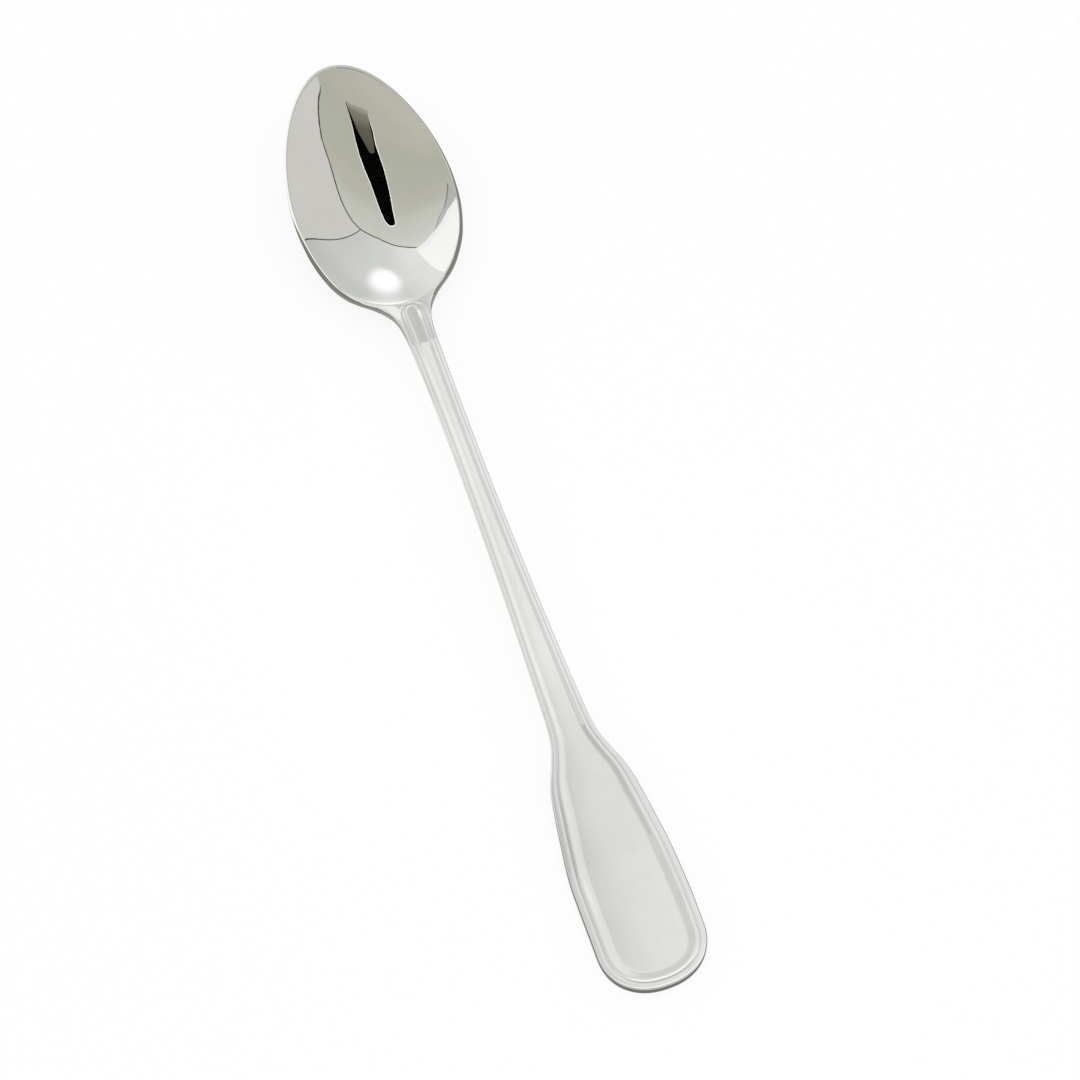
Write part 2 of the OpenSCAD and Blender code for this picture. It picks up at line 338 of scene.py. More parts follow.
def back_of(p):
    """Point on the back for each plan point."""
    side = np.minimum(np.abs(p[:, 0]) / np.maximum(half_at(p[:, 1]), EDGE_R), 1)
    z = line_at(p[:, 1]) - edge_at(p[:, 1]) - back_at(p[:, 1]) * (1 - side * side)
    z = z + rounding(p[:, 3], BACK_ROUND)
    return np.column_stack([p[:, 0] - curve(SWAY, p[:, 1]), p[:, 1] - TOTAL_L / 2, z])


def border_drops(y):
    """How far the top lies below the threads across the border, from its outer edge to the panel.
    On the stem the inner thread is wider, and the cove beside it is narrow and shallow. Round the handle's
    end the panel is shallower than on the handle."""
    on_stem = float(curve([(NARROWING_Y, 0), (NARROW_Y, 1), (NECK_END, 1)], y))
    depths = [(PANEL_END, END_PANEL_D), (LANDING_L, PANEL_D), (NARROWING_Y, PANEL_D),
              (NARROW_Y, STEM_PANEL_D), (NECK_END, STEM_PANEL_D)]
    panel = float(curve(depths, y))
    cove = COVE_SHARE + (STEM_COVE_SHARE - COVE_SHARE) * on_stem
    stations = [
        (0, THREAD_H / 2), (0.05, THREAD_H / 6), (0.13, 0), (0.21, THREAD_H / 24), (0.27, GROOVE_D * 0.2),
        (0.32, GROOVE_D), (0.37, GROOVE_D * 0.45), (0.44, GROOVE_D * 0.14), (0.49, 0),
        (cove - 0.03, panel / 40), (cove, panel * 0.1), (0.93, panel * 0.985), (0.97, panel), (1, panel),
    ]
    return curve(stations, border_shares)


even_shares = np.linspace(0, 1, BORDER_STEPS + 1)
groove_shares = np.linspace(*GROOVE_SPAN, GROOVE_STEPS + 1)
border_shares = np.unique(np.concatenate([even_shares, groove_shares]).round(SAME_DIGITS))
panel_shares = np.linspace(0, 1, PANEL_STEPS + 1)[:-1]
flank_shares = np.linspace(0, 1, FLANK_STEPS + 1)[1:]
round_shares = 1 - np.sin(np.linspace(0, math.pi / 2, ROUND_STEPS + 1))[1:]


def border_at(y):
    """Width of the border."""
    stations = [
        (NARROWING_Y, BORDER_W), (HANDLE_L, STEM_BORDER_W + (BORDER_W - STEM_BORDER_W) / 4),
        (NARROW_Y, STEM_BORDER_W), (NECK_END, STEM_BORDER_W),
    ]
    return curve(stations, y)


def half_row(lines, edge, outward):
    """Plan points from the middle of the panel, over the border, out to the edge.
    lines are the places of the border's lines on this row, from the outer one to the panel. outward is the
    outline's direction at the edge, or None where the edge of the row is a section inside the outline."""
    inner = lines[-1]
    spread = 1 if inner[1] < LANDING_L else min(abs(inner[0]) / BORDER_W, 1)
    crown = CROWN_H * spread * float(curve(CROWN_SHARES, inner[1]))
    panel = np.column_stack([inner[0] * panel_shares, np.full(len(panel_shares), inner[1])])
    reach = min(TOP_ROUND / np.linalg.norm(edge - lines[0]), MAX_REACH)
    flank = lines[0] + np.outer(flank_shares * (1 - reach), edge - lines[0])
    corner = edge + np.outer(round_shares * reach, lines[0] - edge)
    side = np.vstack([flank, corner])
    plan = np.vstack([panel, lines[::-1], side])
    drops = border_drops(inner[1])
    beside = np.minimum(np.linalg.norm(side - lines[0], axis=1) / EDGE_R, 1)
    drop = np.concatenate([
        drops[-1] - crown * (1 - panel_shares**2),
        drops[::-1],
        THREAD_H / 2 * (1 + beside),
    ])
    return np.column_stack([plan, drop, inside_by(plan, edge, outward)])


def whole(row):
    """A row from edge to edge: the mirror image of half a row, and that half."""
    return np.vstack([row[:0:-1] * MIRROR, row])


def lines_in(edge, inward, width):
    """Border lines inside an edge, inwards along a direction."""
    return edge + np.outer(EDGE_R + width * border_shares, inward)


def straight_rows(start, stop, steps):
    """Rows straight across stem and handle."""
    rows = []
    for y in np.linspace(start, stop, steps + 1):
        edge = np.array([float(half_at(y)), y])
        lines = lines_in(edge, np.array([-1.0, 0.0]), float(border_at(y)))
        rows.append(whole(half_row(lines, edge, np.array([1.0, 0.0]))))
    return rows


def end_rows():
    """Rows that fan round the end of the handle, up to its middle."""
    rows = []
    for a in np.linspace(0, math.pi / 2, END_STEPS + 1)[1:]:
        cos, sin = max(math.cos(a), 0), math.sin(a)
        power = 2 / END_POWER
        edge = np.array([END_HALF * cos**power, END_L * (1 - sin**power)])
        across = (edge[0] / END_HALF) ** (END_POWER - 1) / END_HALF
        along = (1 - edge[1] / END_L) ** (END_POWER - 1) / END_L
        inward = np.array([-across, along]) / math.hypot(across, along)
        rows.append(whole(half_row(lines_in(edge, inward, BORDER_W), edge, -inward)))
    return rows


def outline_normal(y):
    """Direction straight out of the left outline."""
    slope = float(outline_slope(y))
    return np.array([-1.0, -slope]) / math.hypot(1, slope)


def foot_rows():
    """Rows of the neck below the arch, on the left half."""
    rows = []
    for y in np.linspace(NECK_START, ARCH_Y, NECK_STEPS + 1):
        edge = np.array([-float(half_at(y)), y])
        strip = np.array([-float(strip_half(y)), y])
        lines = lines_in(strip, np.array([1.0, 0.0]), STEM_BORDER_W)
        rows.append(whole(half_row(lines, edge, np.array([-1.0, 0.0]))))
    return rows


def section_places():
    """Places on the section where neck and bowl meet, from the outline's corner to the middle."""
    half = float(half_at(NECK_END))
    near = TOP_ROUND * (1 - np.sin(np.linspace(math.pi / 2, 0, CORNER_STEPS + 1)))
    far = np.linspace(half - 2 * TOP_ROUND, 0, FOOT_STEPS - CORNER_STEPS)
    return np.concatenate([half - near, far])


def arch_rows():
    """Rows that fan round the arch. Their edges follow the shoulder and then the foot of the bowl."""
    strip = float(strip_half(ARCH_Y)) - EDGE_R
    section = section_places()
    rows = []
    for i in range(1, ARCH_STEPS + 1):
        a = math.pi / 2 * i / ARCH_STEPS
        inset = STEM_BORDER_W * border_shares
        lines = np.column_stack([
            (inset - strip) * max(math.cos(a), 0),
            ARCH_Y + (ARCH_RISE - inset * ARCH_INSET_SHARE) * math.sin(a),
        ])
        if i < FOOT_STEPS:
            y = ARCH_Y + (NECK_END - ARCH_Y) * i / FOOT_STEPS
            x = float(half_at(y))
        else:
            y = NECK_END
            x = section[i - FOOT_STEPS]
        rows.append(whole(half_row(lines, np.array([-x, y]), None)))
    return rows


def bowl_spokes():
    """Spokes of the bowl from its middle out to the edge, on the left half: over the foot, then to the
    tip."""
    foot_angle = math.acos((BOWL_Y - NECK_END) / (BOWL_L / 2))
    hollow_shares = np.sin(np.linspace(0, math.pi / 2, HOLLOW_STEPS + 1))
    rim_shares = np.linspace(0, 1, RIM_STEPS + 1)[1:] ** RIM_POWER
    section = section_places()[::-1]
    spokes = []
    for i in range(FOOT_STEPS + BOWL_STEPS + 1):
        if i < FOOT_STEPS:
            a = foot_angle * section[i] / section[-1]
            edge = np.array([-section[i], NECK_END])
            outward = None
        else:
            a = foot_angle + (math.pi - foot_angle) * (i - FOOT_STEPS) / BOWL_STEPS
            y = BOWL_Y - math.cos(a) * BOWL_L / 2
            edge = np.array([-float(half_at(y)), y])
            outward = np.array([0.0, 1.0]) if i == FOOT_STEPS + BOWL_STEPS else outline_normal(y)
        inner = -math.cos(a) * HOLLOW_L
        lip = np.array([-float(egg_half(inner, HOLLOW_HALF, HOLLOW_L)), HOLLOW_Y + inner])
        middle = np.array([0.0, HOLLOW_Y])
        reach = min(TOP_ROUND / np.linalg.norm(edge - lip), MAX_REACH)
        plan = np.vstack([
            middle + np.outer(hollow_shares, lip - middle),
            lip + np.outer(rim_shares * (1 - reach), edge - lip),
            edge + np.outer(round_shares * reach, lip - edge),
        ])
        drop = np.full(len(plan), THREAD_H)
        spokes.append(np.column_stack([plan, drop, inside_by(plan, edge, outward)]))
    return spokes


def rows_net(rows, folded):
    """Points, cells and outer sides of a net of rows. The last row of a folded net lies on the middle
    line."""
    last, width = len(rows) - 1, len(rows[0])
    ids = np.arange(len(rows) * width).reshape(len(rows), width)
    if folded:
        border = len(flank_shares) + len(round_shares) + len(border_shares) - 1
        column = np.arange(width)
        ids[last] = last * width + np.minimum(np.minimum(column, width - 1 - column), border)
    cells = np.stack([ids[:-1, :-1], ids[:-1, 1:], ids[1:, 1:], ids[1:, :-1]], -1).reshape(-1, 4)
    sides = [np.column_stack([ids[0, :-1], ids[0, 1:]]), np.column_stack([ids[:-1, -1], ids[1:, -1]]),
             np.column_stack([ids[1:, 0], ids[:-1, 0]])]
    if not folded:
        sides.append(np.column_stack([ids[last, 1:], ids[last, :-1]]))
    return np.vstack(rows), cells, np.vstack(sides)


def spokes_net(spokes):
    """Points, cells and outer sides of a net of spokes round a middle point."""
    rows = spokes + [spoke * MIRROR for spoke in spokes[-2:0:-1]]
    width = len(rows[0])
    ids = np.arange(len(rows) * width).reshape(len(rows), width)
    ids[:, 0] = 0
    after = np.roll(ids, -1, axis=0)
    cells = np.stack([ids[:, :-1], ids[:, 1:], after[:, 1:], after[:, :-1]], -1).reshape(-1, 4)
    return np.vstack(rows), cells, np.column_stack([ids[:, -1], after[:, -1]])


def solid_faces(net):
    """Vertices and faces of the closed solid on a net, and which faces lie in a section across the
    spoon."""
    points, cells, sides = net
    n = len(points)
    verts = np.vstack([top_of(points), back_of(points)])
    faces = np.vstack([
        cells[:, ::-1],
        cells + n,
        np.column_stack([sides[:, 1] + n, sides[:, 0] + n, sides[:, 0], sides[:, 1]]),
    ])
    y = points[sides, 1]
    sections = [HANDLE_L, NECK_START, NECK_END]
    cut = np.any([np.all(np.abs(y - s) < SAME_PLACE, axis=1) for s in sections], axis=0)
    flat = np.concatenate([np.zeros(2 * len(cells), bool), cut])
    return verts, faces, flat


def without_repeats(face):
    """A face without corners that repeat."""
    return [v for k, v in enumerate(face) if v != face[k - 1]]


def smooth_normals(solids):
    """Normals of all solids as one surface: alike where they meet, and taking no part in the flat
    sections."""
    verts = np.vstack([s[0] for s in solids])
    _, weld = np.unique(np.round(verts, SAME_DIGITS), axis=0, return_inverse=True)
    weld = weld.reshape(-1)
    total = np.zeros((weld.max() + 1, 3))
    start = 0
    for v, faces, flat in solids:
        shown = faces[~flat]
        normal = np.cross(v[shown[:, 2]] - v[shown[:, 0]], v[shown[:, 3]] - v[shown[:, 1]])
        for k in range(4):
            np.add.at(total, weld[start + shown[:, k]], normal)
        start += len(v)
    total /= np.maximum(np.linalg.norm(total, axis=1, keepdims=True), NO_LENGTH)
    starts = np.cumsum([0] + [len(s[0]) for s in solids])
    return [total[weld[a:b]] for a, b in zip(starts[:-1], starts[1:])]


def make_piece(name, solid, normals, node):
    """One zone of the spoon as a Blender object that stands for its node of the frame."""
    verts, quads, flat = solid
    rings = [without_repeats(face) for face in quads.tolist()]
    kept = [(ring, cut) for ring, cut in zip(rings, flat) if len(ring) > 2]
    used = sorted({v for ring, _ in kept for v in ring})
    place = {v: k for k, v in enumerate(used)}
    mesh = bpy.data.meshes.new(name)
    mesh.from_pydata((verts[used] * MM).tolist(), [], [[place[v] for v in ring] for ring, _ in kept])
    mesh.polygons.foreach_set("use_smooth", [True] * len(kept))
    loops = []
    for ring, cut in kept:
        if cut:
            corner = verts[ring]
            across = np.cross(corner[2] - corner[0], corner[-1] - corner[1])
            loops.extend([across / max(np.linalg.norm(across), NO_LENGTH)] * len(ring))
        else:
            loops.extend(normals[ring])
    mesh.normals_split_custom_set([tuple(map(float, n)) for n in loops])
    piece = bpy.data.objects.new(name, mesh)
    bpy.context.scene.collection.objects.link(piece)
    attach(piece, "root")
    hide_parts(node)
    return piece


def new_material(name):
    """A material with its default shader, and its nodes and links."""
    material = bpy.data.materials.new(name)
    material.use_nodes = True
    return material, material.node_tree.nodes, material.node_tree.links


def colour_ramp(nodes, stops):
    """Colour ramp with stops of (position, colour)."""
    ramp = nodes.new("ShaderNodeValToRGB")
    while len(ramp.color_ramp.elements) < len(stops):
        ramp.color_ramp.elements.new(0.5)
    for element, (position, colour) in zip(ramp.color_ramp.elements, stops):
        element.position = position
        element.color = colour
    return ramp


def multiplied(nodes, links, first, second):
    """Product of two colours."""
    product = nodes.new("ShaderNodeMixRGB")
    product.blend_type = "MULTIPLY"
    product.inputs["Fac"].default_value = 1.0
    links.new(first, product.inputs["Color1"])
    links.new(second, product.inputs["Color2"])
    return product.outputs[0]


# Polished steel. Its clouds change the tint and the shine a little, and its hairlines run along the spoon.
CLOUD_SCALE = 110.0
CLOUD_DETAIL = 4.0
CLOUD_ROUGHNESS = 0.6
CLOUD_SPAN = (0.3, 0.7)
DULL_STEEL = (0.779, 0.781, 0.772, 1)
CLEAR_STEEL = (0.821, 0.820, 0.818, 1)
SHINE = (0.01, 0.028)
HAIR_SCALE = 5200.0
HAIR_DETAIL = 2.0
HAIR_STRETCH = (1.0, 0.04, 1.0)
STREAKS = [(0.3, (0.97, 0.97, 0.97, 1)), (0.55, (1, 1, 1, 1))]
HAIR_BUMP = 0.015
HAIR_DEPTH = 0.00002


def polished_steel():
    """Stainless steel polished to a mirror, with fine hairlines and faint clouds in its shine."""
    material, nodes, links = new_material("polished_steel")
    shader = nodes["Principled BSDF"]
    shader.inputs["Metallic"].default_value = 1.0
    place = nodes.new("ShaderNodeTexCoord").outputs["Object"]

    clouds = nodes.new("ShaderNodeTexNoise")
    clouds.inputs["Scale"].default_value = CLOUD_SCALE
    clouds.inputs["Detail"].default_value = CLOUD_DETAIL
    clouds.inputs["Roughness"].default_value = CLOUD_ROUGHNESS
    links.new(place, clouds.inputs["Vector"])
    drawn = nodes.new("ShaderNodeMapping")
    drawn.inputs["Scale"].default_value = HAIR_STRETCH
    links.new(place, drawn.inputs["Vector"])
    hairs = nodes.new("ShaderNodeTexNoise")
    hairs.inputs["Scale"].default_value = HAIR_SCALE
    hairs.inputs["Detail"].default_value = HAIR_DETAIL
    links.new(drawn.outputs[0], hairs.inputs["Vector"])

    tint = colour_ramp(nodes, [(CLOUD_SPAN[0], DULL_STEEL), (CLOUD_SPAN[1], CLEAR_STEEL)])
    links.new(clouds.outputs["Fac"], tint.inputs["Fac"])
    streaks = colour_ramp(nodes, STREAKS)
    links.new(hairs.outputs["Fac"], streaks.inputs["Fac"])
    colour = multiplied(nodes, links, tint.outputs[0], streaks.outputs[0])
    links.new(colour, shader.inputs["Base Color"])

    shine = nodes.new("ShaderNodeMapRange")
    shine.inputs["From Min"].default_value, shine.inputs["From Max"].default_value = CLOUD_SPAN
    shine.inputs["To Min"].default_value, shine.inputs["To Max"].default_value = SHINE
    links.new(clouds.outputs["Fac"], shine.inputs["Value"])
    links.new(shine.outputs[0], shader.inputs["Roughness"])

    bump = nodes.new("ShaderNodeBump")
    bump.inputs["Strength"].default_value = HAIR_BUMP
    bump.inputs["Distance"].default_value = HAIR_DEPTH
    links.new(hairs.outputs["Fac"], bump.inputs["Height"])
    links.new(bump.outputs[0], shader.inputs["Normal"])
    return material


def build_spoon():
    """The spoon's four zones, smooth across the sections where they meet."""
    nets = {
        "bowl": spokes_net(bowl_spokes()),
        "neck": rows_net(foot_rows() + arch_rows(), True),
        "stem": rows_net(straight_rows(NECK_START, HANDLE_L, STEM_STEPS), False),
        "handle": rows_net(straight_rows(HANDLE_L, END_L, HANDLE_STEPS) + end_rows(), True),
    }
    solids = [solid_faces(net) for net in nets.values()]
    steel = polished_steel()
    for node, solid, normals in zip(nets, solids, smooth_normals(solids)):
        piece = make_piece("steel_" + node, solid, normals, node)
        piece.data.materials.append(steel)


# Camera, fitted to the photograph
CAMERA_DISTANCE = 0.7
CAMERA_ELEVATION = math.radians(66)
CAMERA_AZIMUTH = math.radians(-19.24)
CAMERA_TARGET = Vector((0.00767, -0.00664, 0))
SENSOR_W = 36.0
FOCAL_SHARE = 3731.6 / 1080


def place_camera():
    """The photograph's camera. It looks at a point on the table."""
    data = bpy.data.cameras.new("camera")
    data.sensor_width = SENSOR_W
    data.lens = SENSOR_W * FOCAL_SHARE
    camera = bpy.data.objects.new("camera", data)
    bpy.context.scene.collection.objects.link(camera)
    level = math.cos(CAMERA_ELEVATION)
    aside, ahead = math.sin(CAMERA_AZIMUTH) * level, math.cos(CAMERA_AZIMUTH) * level
    back = Vector((aside, -ahead, math.sin(CAMERA_ELEVATION)))
    camera.location = CAMERA_TARGET + back * CAMERA_DISTANCE
    camera.rotation_euler = back.to_track_quat("Z", "Y").to_euler()
    bpy.context.scene.camera = camera


# The polished steel shows a light tent round the spoon. Its cards are seen in reflections alone.
# Places on it are shares of its height, counted from the middle of the bowl. They were chosen so that the
# bowl mirrors the tent as in the photograph.
TENT_H = 0.45
TENT_MIDDLE = np.array([0.0, 0.071])
# Share of the light that the steel mirrors
STEEL_TONE = 0.8

RIGHT_EDGE = [(1.20, -0.49), (0.61, -0.494), (0.54, -0.494), (0.488, -0.496), (0.438, -0.497),
              (0.402, -0.494), (0.40, -0.487), (0.424, -0.478), (0.526, -0.455), (0.60, -0.425),
              (0.68, -0.373), (0.73, -0.31), (0.725, -0.25), (0.715, -0.20), (0.725, -0.11), (0.735, -0.02),
              (0.735, 0.07), (0.705, 0.165), (0.653, 0.261), (0.542, 0.342)]
BACK_EDGE = [(0.542, 0.342), (0.39, 0.40), (0.24, 0.46), (0.12, 0.54), (-0.01, 0.64), (-0.20, 0.77),
             (-0.43, 0.96)]
LEFT_EDGE = [(-0.43, 0.96), (-0.50, 1.03), (-0.75, 1.06), (-1.04, 1.08), (-1.31, 1.125), (-1.57, 1.105),
             (-1.75, 1.03), (-2.05, 0.88), (-2.30, 0.60), (-2.50, 0.20), (-2.60, -0.30), (-2.60, -0.90)]
FRONT_EDGE = [(-1.6, -1.7), (1.3, -1.6)]
RIGHT_FOOT = (0.53, 0.225)
LEFT_FOOT = (-0.28, 0.90)
# The fold is a shaded strip of cloth below the left edge, between its folded line and that edge
FOLD_LINE = [(-1.07, 1.10), (-1.17, 1.055), (-1.37, 0.97), (-1.56, 0.885), (-1.74, 0.80), (-1.90, 0.69)]
FOLD = FOLD_LINE + LEFT_EDGE[7:2:-1]
SLOT = [(0.012, -0.444), (0.008, -0.40), (0.015, -0.35), (0.037, -0.298), (0.047, -0.229), (0.037, -0.154),
        (0.012, -0.07), (0, 0.05), (0.002, 0.16), (-0.02, 0.27), (-0.055, 0.32), (-0.10, 0.342),
        (-0.155, 0.35), (-0.19, 0.335), (-0.221, 0.19), (-0.256, 0.09), (-0.286, -0.015), (-0.305, -0.117),
        (-0.30, -0.206), (-0.295, -0.245), (-0.325, -0.30), (-0.325, -0.345), (-0.335, -0.372),
        (-0.263, -0.388), (-0.08, -0.412), (0, -0.43)]
LENS = [(0, -0.432), (-0.031, -0.379), (-0.055, -0.333), (-0.101, -0.282), (-0.146, -0.225),
        (-0.193, -0.212), (-0.235, -0.213), (-0.258, -0.24), (-0.295, -0.30), (-0.31, -0.345),
        (-0.35, -0.378), (-0.27, -0.397), (-0.08, -0.421), (-0.01, -0.437)]
HEM_W = 0.014
# The slot's hem is drawn narrower near the tip, where the bowl shows all things larger
HEM_TIP = -0.45
HEM_RAMP = 0.2
HEM_LEAST_SHARE = 0.1
# Widths of the seams, as shares of their distance from the bowl
SEAM_W = 0.02
RIGHT_SEAM_WIDTHS = [0.002] * 5 + [0.003, 0.004, 0.005, 0.007, 0.010, 0.014, 0.018] + [0.024] * 8
CORNER_SEAM_W = 0.008

# How near the bowl the cards hang, as shares of the tent's distance: the nearer ones hide those behind them
TOP_SHARE = 1.0
SEAM_SHARE = 0.99
HEM_SHARE = 0.985
SLOT_SHARE = 0.98
LENS_SHARE = 0.97

# Lamp behind the back wall: its place and height on the tent, its reach in metres, and its even core's share
LAMP_PLACE = (0.175, 0.505)
LAMP_HEIGHT = 0.275
LAMP_REACH = 0.088
LAMP_CORE_SHARE = 0.35
WHITE = (1, 1, 1, 1)
# The back wall is dimmed at its foot, and less and less from the first of these heights to the second
DIM_FOOT = (0.84, 0.84, 0.85, 1)
DIM_HEIGHTS = (0.06, 0.26)

# Red, green and blue of each cloth by position between two points of the tent, given by place and height
CLOTHS = {
    "tent_top": ([(0, (185, 183, 171)), (0.1, (180, 179, 167)), (0.2, (175, 176, 163)),
                  (0.34, (177, 178, 165)), (0.47, (181, 181, 169)), (0.65, (194, 195, 186)),
                  (0.73, (197, 198, 189)), (1, (208, 209, 202))], ((-0.215, -0.575), 1), ((0.26, 0.7), 1)),
    "tent_right": ([(0, (200, 199, 194)), (1, (203, 201, 197))], ((0.8, 0), 0), ((0.8, 0), 1)),
    "tent_back": ([(0, (196, 197, 193)), (0.35, (206, 208, 204)), (0.75, (222, 223, 220)),
                   (1, (224, 225, 222))], ((0.62, 0.30), 0.5), ((-0.43, 0.95), 0.5)),
    "tent_left": ([(0, (248, 249, 248)), (0.7, (245, 246, 245)), (1, (236, 237, 235))],
                  ((-1, 1), 0.2), ((-1, 1), 1)),
    "tent_fold": ([(0, (196, 195, 196)), (1, (176, 176, 174))], ((-1, 1), 1), ((-1.9, 1), 1)),
    "slot_hem": ([(0, (250, 250, 248)), (1, (250, 250, 248))], ((0, 0), 1), ((0, 1), 1)),
    "camera_slot": ([(0, (3, 3, 2)), (1, (6, 6, 5))], ((0, -0.5), 1), ((0, 0.4), 1)),
    "camera_lens": ([(0, (178, 178, 165)), (0.1, (152, 151, 138)), (0.2, (124, 123, 110)),
                     (0.5, (94, 92, 80)), (1, (82, 81, 68))], ((-0.15, -0.415), 1), ((-0.115, -0.218), 1)),
    "seam": ([(0, (70, 70, 64)), (1, (90, 90, 84))], ((0.7, 0), 1), ((-1, 0), 1)),
}


def tone(red, green, blue):
    """Light of a card that the steel shows as a colour of the screen, by the curve of sRGB."""
    shares = np.array([red, green, blue]) / 255
    linear = np.where(shares <= 0.04045, shares / 12.92, ((shares + 0.055) / 1.055) ** 2.4)
    return (*(linear / STEEL_TONE), 1)


def on_tent(place, height=1.0):
    """Point of the tent at a place seen from the bowl, at a share of the tent's height."""
    x, y = TENT_MIDDLE + np.array(place) * TENT_H
    return Vector((x, y, TENT_H * height))


def nearer(point, share):
    """A point of the tent, moved towards the bowl to a share of its distance."""
    middle = Vector((*TENT_MIDDLE, 0))
    return middle + (point - middle) * share


def grown(outline, margin):
    """An outline grown outwards by a margin, which is less towards the bowl's tip."""
    points = np.array(outline)
    step = np.roll(points, -1, axis=0) - np.roll(points, 1, axis=0)
    outward = np.column_stack([-step[:, 1], step[:, 0]]) / np.linalg.norm(step, axis=1, keepdims=True)
    area = np.sum(points[:, 0] * np.roll(points[:, 1], -1) - points[:, 1] * np.roll(points[:, 0], -1))
    margins = margin * np.clip((points[:, 1] - HEM_TIP) / HEM_RAMP, HEM_LEAST_SHARE, 1)
    return points - outward * margins[:, None] * np.sign(area)


def tones_along(nodes, links, place, stops, start, end):
    """Colour that changes through stops from a start point to an end point."""
    offset = nodes.new("ShaderNodeVectorMath")
    offset.operation = "SUBTRACT"
    offset.inputs[1].default_value = start
    along = nodes.new("ShaderNodeVectorMath")
    along.operation = "DOT_PRODUCT"
    span = Vector(end) - Vector(start)
    along.inputs[1].default_value = span / span.length_squared
    ramp = colour_ramp(nodes, stops)
    ramp.color_ramp.interpolation = "EASE"
    links.new(place, offset.inputs[0])
    links.new(offset.outputs[0], along.inputs[0])
    links.new(along.outputs["Value"], ramp.inputs[0])
    return ramp.outputs[0]


def with_lamp(nodes, links, place, colour, lamp):
    """A colour with the soft spot of a lamp over it. lamp gives the spot's middle, reach and tone."""
    middle, reach, light = lamp
    distance = nodes.new("ShaderNodeVectorMath")
    distance.operation = "DISTANCE"
    distance.inputs[1].default_value = middle
    fade = nodes.new("ShaderNodeMapRange")
    fade.interpolation_type = "SMOOTHERSTEP"
    fade.inputs["From Min"].default_value = reach
    fade.inputs["From Max"].default_value = reach * LAMP_CORE_SHARE
    spot = nodes.new("ShaderNodeMixRGB")
    spot.inputs["Color2"].default_value = light
    links.new(place, distance.inputs[0])
    links.new(distance.outputs["Value"], fade.inputs["Value"])
    links.new(fade.outputs["Result"], spot.inputs["Fac"])
    links.new(colour, spot.inputs["Color1"])
    return spot.outputs[0]


def glowing(name, stops, start, end, lamp=None, shade=None):
    """Cloth that glows evenly, in tones that change from a start point to an end point.
    lamp is a lamp behind the cloth. shade gives stops, start and end of a second change of tone over the
    first."""
    material, nodes, links = new_material(name)
    nodes.clear()
    output = nodes.new("ShaderNodeOutputMaterial")
    glow = nodes.new("ShaderNodeEmission")
    links.new(glow.outputs[0], output.inputs["Surface"])
    place = nodes.new("ShaderNodeTexCoord").outputs["Object"]
    colour = tones_along(nodes, links, place, stops, start, end)
    if shade:
        colour = multiplied(nodes, links, colour, tones_along(nodes, links, place, *shade))
    if lamp:
        colour = with_lamp(nodes, links, place, colour, lamp)
    links.new(colour, glow.inputs["Color"])
    return material


def card(name, points, faces, material):
    """A card that is seen in reflections alone and casts no shadow."""
    mesh = bpy.data.meshes.new(name)
    mesh.from_pydata([tuple(point) for point in points], [], faces)
    mesh.materials.append(material)
    piece = bpy.data.objects.new(name, mesh)
    bpy.context.scene.collection.objects.link(piece)
    piece.visible_camera = False
    piece.visible_diffuse = False
    piece.visible_transmission = False
    piece.visible_shadow = False
    return piece


def rectangle(name, left, right, front, back, height, material):
    """A level rectangular card, placed in metres."""
    points = [(left, front, height), (right, front, height), (right, back, height), (left, back, height)]
    return card(name, points, [[0, 1, 2, 3]], material)


def flat_card(name, outline, share, material):
    """A flat card that the bowl sees where the outline lies on the tent's top."""
    points = [nearer(on_tent(place), share) for place in outline]
    return card(name, points, [list(range(len(points)))], material)


def wall(name, edge, foot, material):
    """A wall of the tent, hanging from an edge of its top."""
    points = [on_tent(place) for place in edge] + [on_tent(place, 0) for place in foot]
    count = len(edge)
    faces = [[i, i + 1, count + i + 1, count + i] for i in range(count - 1)]
    return card(name, points, faces, material)


def ribbon(name, path, widths, material):
    """A narrow band along a path on the tent, facing the bowl, with a width for each point."""
    middle = Vector((*TENT_MIDDLE, 0))
    points = []
    for i, point in enumerate(path):
        step = path[min(i + 1, len(path) - 1)] - path[max(i - 1, 0)]
        aside = step.cross(point - middle).normalized() * (point - middle).length * widths[i] / 2
        points.extend([nearer(point - aside, SEAM_SHARE), nearer(point + aside, SEAM_SHARE)])
    faces = [[2 * i, 2 * i + 1, 2 * i + 3, 2 * i + 2] for i in range(len(path) - 1)]
    return card(name, points, faces, material)


def tent_cloth(name, lamp=None, shade=None):
    """One of the tent's cloths."""
    tones, start, end = CLOTHS[name]
    stops = [(position, tone(*colour)) for position, colour in tones]
    return glowing(name, stops, on_tent(*start), on_tent(*end), lamp, shade)


